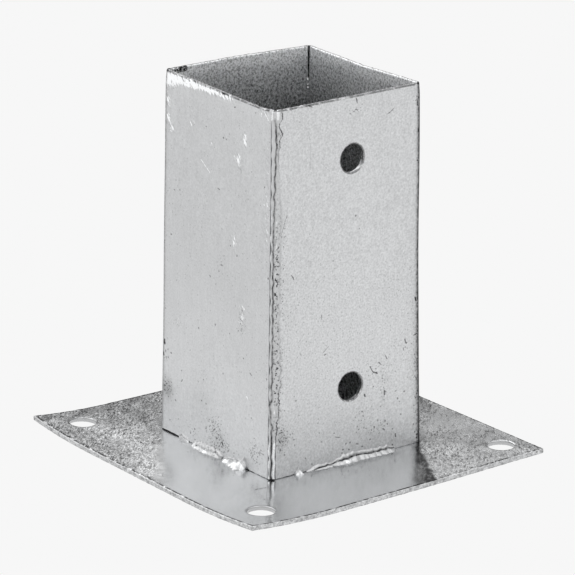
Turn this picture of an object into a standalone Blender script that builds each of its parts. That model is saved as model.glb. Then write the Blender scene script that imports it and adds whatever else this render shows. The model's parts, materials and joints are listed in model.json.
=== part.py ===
"""Bolt-down support for a square timber post, in hot-dip galvanised steel.

Two identical folded angles stand on a square base plate and close into an open-topped socket.
Each angle has one plain leg and one leg drilled for two screws, and the second angle is the
first turned half a turn. Two corner welds join the angles, and beads of weld hold their foot
to the plate, which has an anchor hole near each corner.

Frame: metres, +Z up, origin at the middle of the base plate's underside. The drilled walls face
+X and -X, the plain walls face -Y and +Y.
"""

import math

import bmesh
import bpy
from mathutils import Matrix, Vector

# Base plate
PLATE_SIDE = 0.150
PLATE_THICKNESS = 0.002
PLATE_CORNER_RADIUS = 0.001
ANCHOR_HOLE_DIAMETER = 0.011
ANCHOR_HOLE_FROM_EDGE = 0.014

# Socket angles
SOCKET_INSIDE = 0.071
SOCKET_HEIGHT = 0.150
WALL = 0.002
FOLD_INSIDE_RADIUS = 0.001
SCREW_HOLE_DIAMETER = 0.012
SCREW_HOLE_FROM_FOLD = 0.0358
LOWER_HOLE_FROM_FOOT = 0.031
UPPER_HOLE_FROM_RIM = 0.025

# Welds. The crown is the bulge of a bead's face as a share of its leg, and the end size is how
# much of a bead's full section is left at its two ends.
JOINT_GAP = 0.0003
CORNER_WELD_RADIUS = 0.0012
REAR_WELD_BELOW_RIM = 0.012
WELD_CROWN = 0.10
WELD_END_SIZE = 0.55
WELD_STATIONS = 13

# Foot beads: name, quarter turns from the -Y wall, middle along the wall, length, leg
FOOT_WELDS = (
    ("foot_weld_plain_side_tack", 0, -0.0217, 0.0075, 0.0035),
    ("foot_weld_plain_side_run", 0, -0.0057, 0.0220, 0.0035),
    ("foot_weld_plain_side_end", 0, 0.0140, 0.0142, 0.0045),
    ("foot_weld_drilled_side_tack", 1, -0.0240, 0.0038, 0.0030),
    ("foot_weld_drilled_side_run", 1, 0.0034, 0.0428, 0.0038),
    ("foot_weld_far_plain_side", 2, 0.0, 0.0450, 0.0036),
    ("foot_weld_far_drilled_side", 3, 0.0, 0.0450, 0.0036),
)

# Facets of round shapes, and the sharpest turn that is shaded smooth
HOLE_FACETS = 40
FOLD_FACETS = 6
CORNER_FACETS = 4
BEAD_FACETS = 6
SHARP_ANGLE = math.radians(30)

# Worked out from the sizes above
INSIDE_FACE = SOCKET_INSIDE / 2
OUTSIDE_FACE = INSIDE_FACE + WALL
FOLD_RADIUS = FOLD_INSIDE_RADIUS + WALL
SOCKET_FOOT = PLATE_THICKNESS + JOINT_GAP
SOCKET_RIM = SOCKET_FOOT + SOCKET_HEIGHT
LOWER_HOLE_Z = SOCKET_FOOT + LOWER_HOLE_FROM_FOOT
UPPER_HOLE_Z = SOCKET_RIM - UPPER_HOLE_FROM_RIM
DRILL_LENGTH = 3 * max(WALL, PLATE_THICKNESS)

# Name: colour, roughness, metallic
FINISHES = {
    "galvanised_plate": ((0.34, 0.35, 0.36, 1.0), 0.42, 0.85),
    "galvanised_sheet": ((0.58, 0.59, 0.60, 1.0), 0.48, 0.80),
    "galvanised_weld": ((0.66, 0.67, 0.68, 1.0), 0.38, 0.85),
}


def clear_scene():
    """Remove every object, so that the script can be run again."""
    for old in list(bpy.data.objects):
        bpy.data.objects.remove(old, do_unlink=True)


def make_collection(name):
    """A new collection under the scene's own."""
    collection = bpy.data.collections.new(name)
    bpy.context.scene.collection.children.link(collection)
    return collection


def make_material(name, finish):
    """A Principled material for one piece, in one of the FINISHES."""
    colour, roughness, metallic = FINISHES[finish]
    material = bpy.data.materials.new(name)
    material.use_nodes = True
    shader = material.node_tree.nodes["Principled BSDF"]
    shader.inputs["Base Color"].default_value = colour
    shader.inputs["Roughness"].default_value = roughness
    shader.inputs["Metallic"].default_value = metallic
    return material


def add_piece(name, data, collection, parent, finish):
    """Put a mesh or curve in the scene as a named piece with its own material."""
    piece = bpy.data.objects.new(name, data)
    collection.objects.link(piece)
    piece.parent = parent
    if not data.materials:
        data.materials.append(None)
    # The material sits on the object, because two pieces can share one mesh.
    slot = piece.material_slots[0]
    slot.link = "OBJECT"
    slot.material = make_material(name, finish)
    return piece


def mesh_of(name, bm):
    """Turn a bmesh into mesh data, shaded smooth over its round parts."""
    mesh = bpy.data.meshes.new(name)
    bm.to_mesh(mesh)
    bm.free()
    mesh.shade_smooth()
    mesh.set_sharp_from_angle(angle=SHARP_ANGLE)
    return mesh


def box_mesh(name, low, high, rounded, radius):
    """A box between two opposite corners, with the edges that rounded() picks rounded off."""
    low, high = Vector(low), Vector(high)
    bm = bmesh.new()
    bmesh.ops.create_cube(bm, size=1.0)
    bmesh.ops.scale(bm, vec=high - low, verts=bm.verts)
    bmesh.ops.translate(bm, vec=(low + high) / 2, verts=bm.verts)
    bmesh.ops.bevel(
        bm,
        geom=[edge for edge in bm.edges if rounded(edge)],
        offset=radius,
        segments=CORNER_FACETS,
        profile=0.5,
        affect="EDGES",
    )
    return mesh_of(name, bm)


def upright(edge):
    """Whether an edge runs along Z."""
    direction = edge.verts[0].co - edge.verts[1].co
    return abs(direction.z) > 0.99 * direction.length


def drill_mesh(name, diameter, places):
    """Cylinders through a sheet, one for each (centre, turn that points it) in places."""
    bm = bmesh.new()
    for centre, turn in places:
        bmesh.ops.create_cone(
            bm,
            cap_ends=True,
            segments=HOLE_FACETS,
            radius1=diameter / 2,
            radius2=diameter / 2,
            depth=DRILL_LENGTH,
            matrix=Matrix.Translation(centre) @ turn,
        )
    return mesh_of(name, bm)


def drill(piece, mesh, collection):
    """Cut the cylinders of a drill mesh out of a piece, and let them turn with it."""
    cutter = bpy.data.objects.new(piece.name + "_drill", mesh)
    collection.objects.link(cutter)
    cutter.parent = piece
    cutter.hide_render = True
    cutter.display_type = "WIRE"
    cut = piece.modifiers.new("holes", "BOOLEAN")
    cut.operation = "DIFFERENCE"
    cut.solver = "EXACT"
    cut.object = cutter


def make_base_plate(parts, cutters, root):
    """The square plate, with an anchor hole near each corner."""
    half = PLATE_SIDE / 2
    mesh = box_mesh(
        "base_plate",
        (-half, -half, 0.0),
        (half, half, PLATE_THICKNESS),
        upright,
        PLATE_CORNER_RADIUS,
    )
    plate = add_piece("base_plate", mesh, parts, root, "galvanised_plate")
    reach = half - ANCHOR_HOLE_FROM_EDGE
    places = [
        (Vector((x, y, PLATE_THICKNESS / 2)), Matrix.Identity(4))
        for x in (-reach, reach)
        for y in (-reach, reach)
    ]
    drill(plate, drill_mesh("anchor_holes", ANCHOR_HOLE_DIAMETER, places), cutters)


def angle_outline():
    """The outer face of one angle seen from above: plain leg, fold, then drilled leg.

    Each leg stops a joint gap short of the corner weld, and the fold is a quarter circle.
    """
    leg_end = INSIDE_FACE - JOINT_GAP
    fold_centre = -OUTSIDE_FACE + FOLD_RADIUS
    fold = []
    for step in range(FOLD_FACETS + 1):
        turn = math.radians(270 - 90 * step / FOLD_FACETS)
        x = fold_centre + FOLD_RADIUS * math.cos(turn)
        y = fold_centre + FOLD_RADIUS * math.sin(turn)
        fold.append((x, y))
    return [(leg_end, -OUTSIDE_FACE), *fold, (-OUTSIDE_FACE, leg_end)]


def angle_mesh():
    """The outer face of one angle as an open strip, from foot to rim."""
    bm = bmesh.new()
    foot = [bm.verts.new((x, y, SOCKET_FOOT)) for x, y in angle_outline()]
    edges = [bm.edges.new(pair) for pair in zip(foot, foot[1:])]
    raised = bmesh.ops.extrude_edge_only(bm, edges=edges)["geom"]
    top = [item for item in raised if isinstance(item, bmesh.types.BMVert)]
    bmesh.ops.translate(bm, vec=(0, 0, SOCKET_HEIGHT), verts=top)
    return mesh_of("socket_angle", bm)


def make_angles(parts, cutters, root):
    """Both socket angles: one mesh, used twice, half a turn apart."""
    strip = angle_mesh()
    across_wall = Matrix.Rotation(math.radians(90), 4, "Y")
    along_wall = -OUTSIDE_FACE + SCREW_HOLE_FROM_FOLD
    wall_middle = -OUTSIDE_FACE + WALL / 2
    places = [
        (Vector((wall_middle, along_wall, z)), across_wall)
        for z in (LOWER_HOLE_Z, UPPER_HOLE_Z)
    ]
    holes = drill_mesh("screw_holes", SCREW_HOLE_DIAMETER, places)
    for name, turn in (("socket_angle_left", 0), ("socket_angle_right", math.pi)):
        angle = add_piece(name, strip, parts, root, "galvanised_sheet")
        angle.rotation_euler = (0, 0, turn)
        sheet = angle.modifiers.new("sheet thickness", "SOLIDIFY")
        sheet.thickness = WALL
        sheet.offset = -1
        sheet.use_even_offset = True
        drill(angle, holes, cutters)


def make_corner_weld(name, turn, top, parts, root):
    """A weld that fills the open corner between two angles, flush with both outer faces."""

    weld_middle = INSIDE_FACE + WALL / 2

    def outermost(edge):
        point = edge.verts[0].co
        return upright(edge) and point.x > weld_middle and point.y < -weld_middle

    mesh = box_mesh(
        name,
        (INSIDE_FACE, -OUTSIDE_FACE, SOCKET_FOOT),
        (OUTSIDE_FACE, -INSIDE_FACE, top),
        outermost,
        CORNER_WELD_RADIUS,
    )
    weld = add_piece(name, mesh, parts, root, "galvanised_weld")
    weld.rotation_euler = (0, 0, turn)


def bead_section(leg, collection):
    """The cross-section of a foot bead: a corner with equal legs and a bulging face."""
    outline = [(0.0, 0.0)]
    for step in range(BEAD_FACETS + 1):
        share = step / BEAD_FACETS
        bulge = leg * WELD_CROWN * math.sin(math.pi * share)
        outline.append((leg * share + bulge, leg * (1 - share) + bulge))
    curve = bpy.data.curves.new("bead_section", "CURVE")
    spline = curve.splines.new("POLY")
    spline.points.add(len(outline) - 1)
    for point, (out, up) in zip(spline.points, outline):
        point.co = (out, up, 0, 1)
    spline.use_cyclic_u = True
    section = bpy.data.objects.new("bead_section", curve)
    collection.objects.link(section)
    section.hide_render = True
    section.display_type = "WIRE"
    return section


def make_foot_weld(name, quarter, middle, length, leg, parts, cutters, root):
    """A bead along the foot of one wall, thinner at its ends."""
    curve = bpy.data.curves.new(name, "CURVE")
    curve.dimensions = "3D"
    curve.bevel_mode = "OBJECT"
    curve.bevel_object = bead_section(leg, cutters)
    curve.use_fill_caps = True
    spline = curve.splines.new("POLY")
    spline.points.add(WELD_STATIONS - 1)
    for step, point in enumerate(spline.points):
        share = step / (WELD_STATIONS - 1)
        along = middle + length * (share - 0.5)
        point.co = (along, -OUTSIDE_FACE - JOINT_GAP, SOCKET_FOOT, 1)
        point.radius = WELD_END_SIZE + (1 - WELD_END_SIZE) * math.sin(math.pi * share) ** 0.5
    weld = add_piece(name, curve, parts, root, "galvanised_weld")
    weld.rotation_euler = (0, 0, math.radians(90 * quarter))


def main():
    clear_scene()
    parts = make_collection("post_support")
    cutters = make_collection("cutters")
    cutters.hide_render = True
    root = bpy.data.objects.new("post_support", None)
    parts.objects.link(root)
    make_base_plate(parts, cutters, root)
    make_angles(parts, cutters, root)
    make_corner_weld("corner_weld_front", 0, SOCKET_RIM, parts, root)
    rear_top = SOCKET_RIM - REAR_WELD_BELOW_RIM
    make_corner_weld("corner_weld_rear", math.pi, rear_top, parts, root)
    for bead in FOOT_WELDS:
        make_foot_weld(*bead, parts, cutters, root)


main()
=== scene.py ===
"""Looks of the bolt-down post support: galvanised sheet and welds, and a plain studio.

Run as a script. It loads the CAD frame, replaces each CAD node with a finer surface in the same
place, gives it a zinc finish, and sets up the floor, the light and the camera.
"""

import json
import math

import bpy
import numpy as np
from bpy.props import FloatProperty, FloatVectorProperty, PointerProperty
from mathutils import Matrix, Vector


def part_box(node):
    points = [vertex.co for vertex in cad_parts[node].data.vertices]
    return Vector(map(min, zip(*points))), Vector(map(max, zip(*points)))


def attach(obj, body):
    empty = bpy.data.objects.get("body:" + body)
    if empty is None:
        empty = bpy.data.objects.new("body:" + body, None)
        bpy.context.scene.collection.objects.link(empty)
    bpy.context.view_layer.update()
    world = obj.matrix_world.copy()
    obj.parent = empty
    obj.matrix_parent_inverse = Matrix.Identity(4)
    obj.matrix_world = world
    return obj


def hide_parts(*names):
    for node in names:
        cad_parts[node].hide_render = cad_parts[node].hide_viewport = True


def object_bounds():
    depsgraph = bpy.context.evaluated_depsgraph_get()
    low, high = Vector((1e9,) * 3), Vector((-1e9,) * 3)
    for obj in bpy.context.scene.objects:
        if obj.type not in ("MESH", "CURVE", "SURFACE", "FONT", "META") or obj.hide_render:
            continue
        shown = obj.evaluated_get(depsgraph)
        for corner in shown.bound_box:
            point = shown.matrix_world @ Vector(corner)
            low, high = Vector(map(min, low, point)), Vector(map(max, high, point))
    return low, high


bl_info = {
    "name": "Bolt-down post support",
    "version": (1, 0, 0),
    "blender": (4, 5, 0),
    "location": "3D View > Sidebar > Post Support",
    "description": "Galvanised post support built around its CAD frame",
    "category": "Object",
}

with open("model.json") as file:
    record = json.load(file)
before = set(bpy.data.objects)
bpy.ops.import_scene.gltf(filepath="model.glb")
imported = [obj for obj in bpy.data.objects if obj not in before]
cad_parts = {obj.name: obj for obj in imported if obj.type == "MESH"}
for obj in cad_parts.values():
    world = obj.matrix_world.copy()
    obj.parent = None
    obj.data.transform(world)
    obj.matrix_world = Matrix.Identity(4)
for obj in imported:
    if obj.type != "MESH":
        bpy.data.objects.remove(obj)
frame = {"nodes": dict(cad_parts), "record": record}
CAD_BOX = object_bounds()

MM = 0.001

# The frame's own sizes
PLATE_LOW, PLATE_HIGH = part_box("base_plate")
ANGLE_LOW, ANGLE_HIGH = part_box("socket_angle_left")
OUTSIDE = -ANGLE_LOW.x
LEG_END = ANGLE_HIGH.x
FOOT = ANGLE_LOW.z
RIM = ANGLE_HIGH.z
PLATE_TOP = PLATE_HIGH.z
MOUNTS = {mount["name"]: mount for mount in frame["record"]["mounts"]}
INSIDE = MOUNTS["post_face_drilled_wall"]["pos_m"][0]
WALL = OUTSIDE - INSIDE
OPENINGS = {opening["name"]: opening for opening in frame["record"]["physics"]["openings"]}


def node_points(node):
    """The points of a CAD node, as an array of x, y and z."""
    vertices = frame["nodes"][node].data.vertices
    points = np.empty(len(vertices) * 3, np.float32)
    vertices.foreach_get("co", points)
    return points.reshape(-1, 3).astype(float)


def drilled_hole(node, opening, bore_axis):
    """The centre of a stated opening, and the radius of the CAD node's hole there."""
    centre = np.mean(OPENINGS[opening]["box_m"], axis=0)
    offset = np.delete(node_points(node) - centre, bore_axis, axis=1)
    return centre, np.hypot(*offset.T).min()


def waves(points, size, seed, count=20):
    """Smooth noise, mostly between -1 and 1, over rows of coordinates.

    It is the scaled sum of cosine waves about one size long that run in random directions.
    """
    random = np.random.default_rng(seed)
    directions = random.normal(size=(count, points.shape[-1]))
    directions /= np.linalg.norm(directions, axis=1, keepdims=True)
    lengths = size * random.uniform(0.6, 1.6, (count, 1))
    phases = random.uniform(0, 2 * math.pi, count)
    angles = points @ (2 * math.pi * directions / lengths).T + phases
    return np.cos(angles).sum(axis=-1) * math.sqrt(2 / count) * 0.6


def bell(distance, width):
    """A bump of height 1 at distance 0 that fades over about one width on either side."""
    return np.exp(-((distance / width) ** 2))


def ramp(value, low, high):
    """A smooth step from 0 at low to 1 at high."""
    share = np.clip((value - low) / (high - low), 0, 1)
    return share * share * (3 - 2 * share)


# Surfaces


def grid_lines(low, high, step, windows=(), cells=20):
    """Grid lines about a step apart from low to high, with each window cut into equal cells."""
    runs = []
    start = low
    for middle, half in sorted(windows):
        count = max(1, math.ceil((middle - half - start) / step))
        runs.append(np.linspace(start, middle - half, count, endpoint=False))
        runs.append(np.linspace(middle - half, middle + half, cells, endpoint=False))
        start = middle + half
    count = max(1, math.ceil((high - start) / step))
    runs.append(np.linspace(start, high, count + 1))
    return np.concatenate(runs)


def loop_round(index, first_row, last_row, first_column, last_column):
    """The grid's vertex numbers once round a rectangle of rows and columns, anticlockwise."""
    return np.concatenate(
        [
            index[first_row:last_row, first_column],
            index[last_row, first_column:last_column],
            index[last_row:first_row:-1, last_column],
            index[first_row, last_column:first_column:-1],
        ]
    )


def strip(first, second):
    """Quads between two closed loops of the same length."""
    return np.stack([first, second, np.roll(second, -1), np.roll(first, -1)], axis=1)


def rounded_edge(half, lip, steps=3):
    """Offsets and heights down a sheet's rounded edge, between its top face and its bottom face.

    Each arris is a quarter circle of radius lip.
    """
    turn = np.linspace(0, math.pi / 2, steps + 1)[1:]
    offset = lip * np.sin(turn)
    height = half - lip + lip * np.cos(turn)
    return np.concatenate([offset, offset[::-1]]), np.concatenate([height, -height[::-1]])


def drilled_sheet(rows, columns, half, lip, holes):
    """A closed rectangular sheet with round holes, as points (row, column, height) and quads.

    Both faces are a grid in which each hole has a square window. Rings of quads in the window
    turn the square into the hole's circle, and a rounded edge joins the two faces along the
    outline and down each bore.
    """
    across, up = np.meshgrid(rows, columns, indexing="ij")
    flat = [np.stack([across.ravel(), up.ravel()], axis=1)]
    index = np.arange(across.size).reshape(across.shape)
    kept = np.ones((len(rows) - 1, len(columns) - 1), bool)
    quads = []
    bores = []
    used = across.size
    rings = 7
    for row, column, radius, window in holes:
        # Searching a hair low finds a window's own grid lines however they were rounded.
        sides = np.array([-window, window]) - 1e-7
        first_row, last_row = np.searchsorted(rows, row + sides)
        first_column, last_column = np.searchsorted(columns, column + sides)
        kept[first_row:last_row, first_column:last_column] = False
        loop = loop_round(index, first_row, last_row, first_column, last_column)
        square = flat[0][loop]
        centre = np.array([row, column])
        away = square - centre
        away /= np.linalg.norm(away, axis=1, keepdims=True)
        circle = centre + away * (radius + lip)
        # The rings lie closer together towards the bore.
        for ring in range(1, rings + 1):
            share = (ring / rings) ** 0.8
            flat.append(square + (circle - square) * share)
            inner = used + np.arange(len(loop))
            used += len(loop)
            quads.append(strip(loop, inner)[:, [0, 3, 2, 1]])
            loop = inner
        bores.append((loop[::-1], -away[::-1]))
    cell_row, cell_column = np.nonzero(kept)
    quads.append(
        np.stack(
            [
                index[cell_row, cell_column],
                index[cell_row + 1, cell_column],
                index[cell_row + 1, cell_column + 1],
                index[cell_row, cell_column + 1],
            ],
            axis=1,
        )
    )
    flat = np.concatenate(flat)
    quads = np.concatenate(quads)
    outline = loop_round(index, 0, len(rows) - 1, 0, len(columns) - 1)
    place = flat[outline]
    outward = (place == place.max(0)).astype(float) - (place == place.min(0))
    edges = [(outline, outward), *bores]
    points = [np.column_stack([flat, np.full(len(flat), half)])]
    points.append(np.column_stack([flat, np.full(len(flat), -half)]))
    faces = [quads, quads[:, ::-1] + len(flat)]
    used = 2 * len(flat)
    offsets, heights = rounded_edge(half, lip)
    for loop, direction in edges:
        previous = loop
        for offset, height in zip(offsets, heights):
            ring = flat[loop] + direction * offset
            points.append(np.column_stack([ring, np.full(len(loop), height)]))
            current = used + np.arange(len(loop))
            used += len(loop)
            faces.append(strip(previous, current))
            previous = current
        faces.append(strip(previous, loop + len(flat)))
    points = np.concatenate(points)
    faces = np.concatenate(faces)
    used_points, faces = np.unique(faces, return_inverse=True)
    return points[used_points], faces.reshape(-1, 4)


def tube(rings):
    """A closed skin over rings of points, one ring per station, as points, quads and triangles.

    Neighbouring rings are joined by quads, and each end is a fan to the middle of its ring.
    """
    stations, around = rings.shape[:2]
    index = np.arange(stations * around).reshape(stations, around)
    quads = np.concatenate([strip(a, b) for a, b in zip(index, index[1:])])
    points = rings.reshape(-1, 3)
    middles = np.stack([rings[0].mean(0), rings[-1].mean(0)])
    first, last = index[0], index[-1]
    start = np.full(around, len(points))
    fans = np.concatenate(
        [
            np.stack([first, np.roll(first, -1), start], axis=1),
            np.stack([np.roll(last, -1), last, start + 1], axis=1),
        ]
    )
    return np.concatenate([points, middles]), quads, fans


def volume(points, quads, triangles):
    """The signed volume inside a closed mesh: positive where its faces point outwards.

    It is the sum, over the mesh's triangles, of the tetrahedra that they span with the origin.
    """
    halves = [quads[:, [0, 1, 2]], quads[:, [0, 2, 3]], triangles]
    corners = points[np.concatenate(halves)]
    return np.linalg.det(corners).sum() / 6


def add_piece(name, points, quads, triangles, material, nodes, values):
    """Make a mesh object with its faces pointing out, and let it stand for CAD nodes."""
    if volume(points, quads, triangles) < 0:
        quads, triangles = quads[:, ::-1], triangles[:, ::-1]
    mesh = bpy.data.meshes.new(name)
    mesh.vertices.add(len(points))
    mesh.vertices.foreach_set("co", points.astype(np.float32).ravel())
    corners = np.concatenate([quads.ravel(), triangles.ravel()]).astype(np.int32)
    mesh.loops.add(len(corners))
    mesh.loops.foreach_set("vertex_index", corners)
    starts = np.concatenate(
        [
            np.arange(len(quads)) * 4,
            quads.size + np.arange(len(triangles)) * 3,
        ]
    )
    mesh.polygons.add(len(starts))
    mesh.polygons.foreach_set("loop_start", starts.astype(np.int32))
    mesh.update(calc_edges=True)
    mesh.validate()
    for key, numbers in values.items():
        kind, field = ("FLOAT", "value") if numbers.ndim == 1 else ("FLOAT_VECTOR", "vector")
        attribute = mesh.attributes.new(key, kind, "POINT")
        attribute.data.foreach_set(field, numbers.astype(np.float32).ravel())
    mesh.shade_smooth()
    mesh.materials.append(material)
    piece = bpy.data.objects.new(name, mesh)
    bpy.context.scene.collection.objects.link(piece)
    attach(piece, "root")
    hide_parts(*nodes)


NO_TRIANGLES = np.empty((0, 3), int)

# Half width of a hole's square window in its sheet's grid, as a multiple of the hole's radius
WINDOW = 1.7


def zinc_edges(points, low, high, half, sheet, seed):
    """Thicken a sheet near its outline, as zinc does where it drains off an edge.

    The faces swell within an edge reach of the outline, and the edge itself wanders in and out.
    Returns the points and how far each was in from the outline, in millimetres.
    """
    row, column, height = points.T
    gaps = np.stack([row - low[0], high[0] - row, column - low[1], high[1] - column])
    inset = gaps.min(0)
    place = np.column_stack([row, column])
    lumps = waves(place, 3.5 * MM, seed) * 0.6 + waves(place, 1.3 * MM, seed + 1) * 0.4
    swell = sheet.edge_swell * bell(inset, sheet.edge_reach) * (0.7 + 0.6 * lumps)
    wander = sheet.edge_wander * lumps
    pull = np.exp(-np.maximum(gaps, 0) / sheet.edge_reach)
    row = row + wander * (pull[1] - pull[0])
    column = column + wander * (pull[3] - pull[2])
    height = height + np.sign(height) * swell * (abs(height) > 0.6 * half)
    return np.column_stack([row, column, height]), inset / MM


def hole_gap(points, holes):
    """How far each sheet point is from the nearest hole's bore, in millimetres."""
    gaps = [np.hypot(points[:, 0] - hole[0], points[:, 1] - hole[1]) - hole[2] for hole in holes]
    return np.min(gaps, axis=0) / MM


def spread(along, up, zones):
    """How strongly a table's zones cover each place: a sum of bells.

    A zone is (along, up, half length along, half length up, amount), in millimetres.
    """
    total = np.zeros_like(along)
    for middle, height, half_along, half_up, amount in zones:
        aside = bell(along / MM - middle, half_along)
        above = bell(up / MM - height, half_up)
        total += amount * aside * above
    return total


# The socket as made. Heights in millimetres that its foot and its rim are off level, by the
# direction round the socket in degrees from +X.
OFF_LEVEL = (
    (-180, 0.0, 1.9),
    (-135, 0.15, 1.9),
    (-125, 0.05, 1.7),
    (-119, -0.3, 1.6),
    (-90, -0.5, 1.1),
    (-52, -0.75, 0.3),
    (-45, -0.75, 0.85),
    (0, -0.6, 0.9),
    (45, -0.45, 1.05),
    (90, 0.0, 0.1),
    (135, 0.0, 0.8),
    (180, 0.0, 1.9),
)


def as_made(points, sheet):
    """Move points of the straight socket to where they are on the one that was made.

    The socket tapers a little towards its rim, its +Y side flares out at the foot, and its foot
    and rim are not quite level.
    """
    x, y, z = points.T
    share = np.clip((z - FOOT) / (RIM - FOOT), 0, 1)
    taper = 1 + sheet.socket_taper * (0.5 - share)
    table = np.array(OFF_LEVEL)
    direction = np.degrees(np.arctan2(y, x))
    foot, rim = (np.interp(direction, table[:, 0], table[:, column]) * MM for column in (1, 2))
    flare = sheet.foot_flare * np.maximum(y / OUTSIDE, 0) * (1 - share) ** 3
    level = z + foot * (1 - share) + rim * share
    return np.column_stack([x * taper, y * taper + flare, level])


# Materials


class Number:
    """One number socket of a node tree. Arithmetic on it adds Math nodes."""

    def __init__(self, nodes, socket):
        self.nodes = nodes
        self.socket = socket

    def __add__(self, other):
        return self.nodes.math("ADD", self, other)

    def __radd__(self, other):
        return self.nodes.math("ADD", other, self)

    def __sub__(self, other):
        return self.nodes.math("SUBTRACT", self, other)

    def __rsub__(self, other):
        return self.nodes.math("SUBTRACT", other, self)

    def __mul__(self, other):
        return self.nodes.math("MULTIPLY", self, other)

    def __rmul__(self, other):
        return self.nodes.math("MULTIPLY", other, self)


class Nodes:
    """A node tree under construction."""

    def __init__(self, tree):
        self.tree = tree

    def feed(self, socket, value):
        """Link a socket to another, or set its own value."""
        source = value.socket if isinstance(value, Number) else value
        if isinstance(source, bpy.types.NodeSocket):
            self.tree.links.new(source, socket)
        else:
            socket.default_value = source

    def node(self, kind, settings=None, sockets=None):
        """Add a node of a kind, with its settings first and then its sockets."""
        node = self.tree.nodes.new(kind)
        for key, value in (settings or {}).items():
            setattr(node, key, value)
        for key, value in (sockets or {}).items():
            self.feed(node.inputs[key], value)
        return node

    def math(self, operation, *values, clamp=False):
        """A Math node on numbers or number sockets."""
        settings = {"operation": operation, "use_clamp": clamp}
        node = self.node("ShaderNodeMath", settings, dict(enumerate(values)))
        return Number(self, node.outputs[0])

    def clamp(self, value):
        """A number kept between 0 and 1."""
        return self.math("ADD", value, 0.0, clamp=True)

    def step(self, value, low, high):
        """A smooth step from 0 at low to 1 at high, which may run downwards."""
        sockets = {"Value": value, "From Min": low, "From Max": high}
        node = self.node("ShaderNodeMapRange", {"interpolation_type": "SMOOTHSTEP"}, sockets)
        return Number(self, node.outputs["Result"])

    def vector(self, operation, *values):
        """A Vector Math node on vectors or vector sockets."""
        node = self.node("ShaderNodeVectorMath", {"operation": operation}, dict(enumerate(values)))
        return node.outputs["Value" if operation in ("DOT_PRODUCT", "LENGTH") else "Vector"]

    def dot(self, vector, direction):
        """How far a vector points along a direction."""
        return Number(self, self.vector("DOT_PRODUCT", vector, direction))


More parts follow.
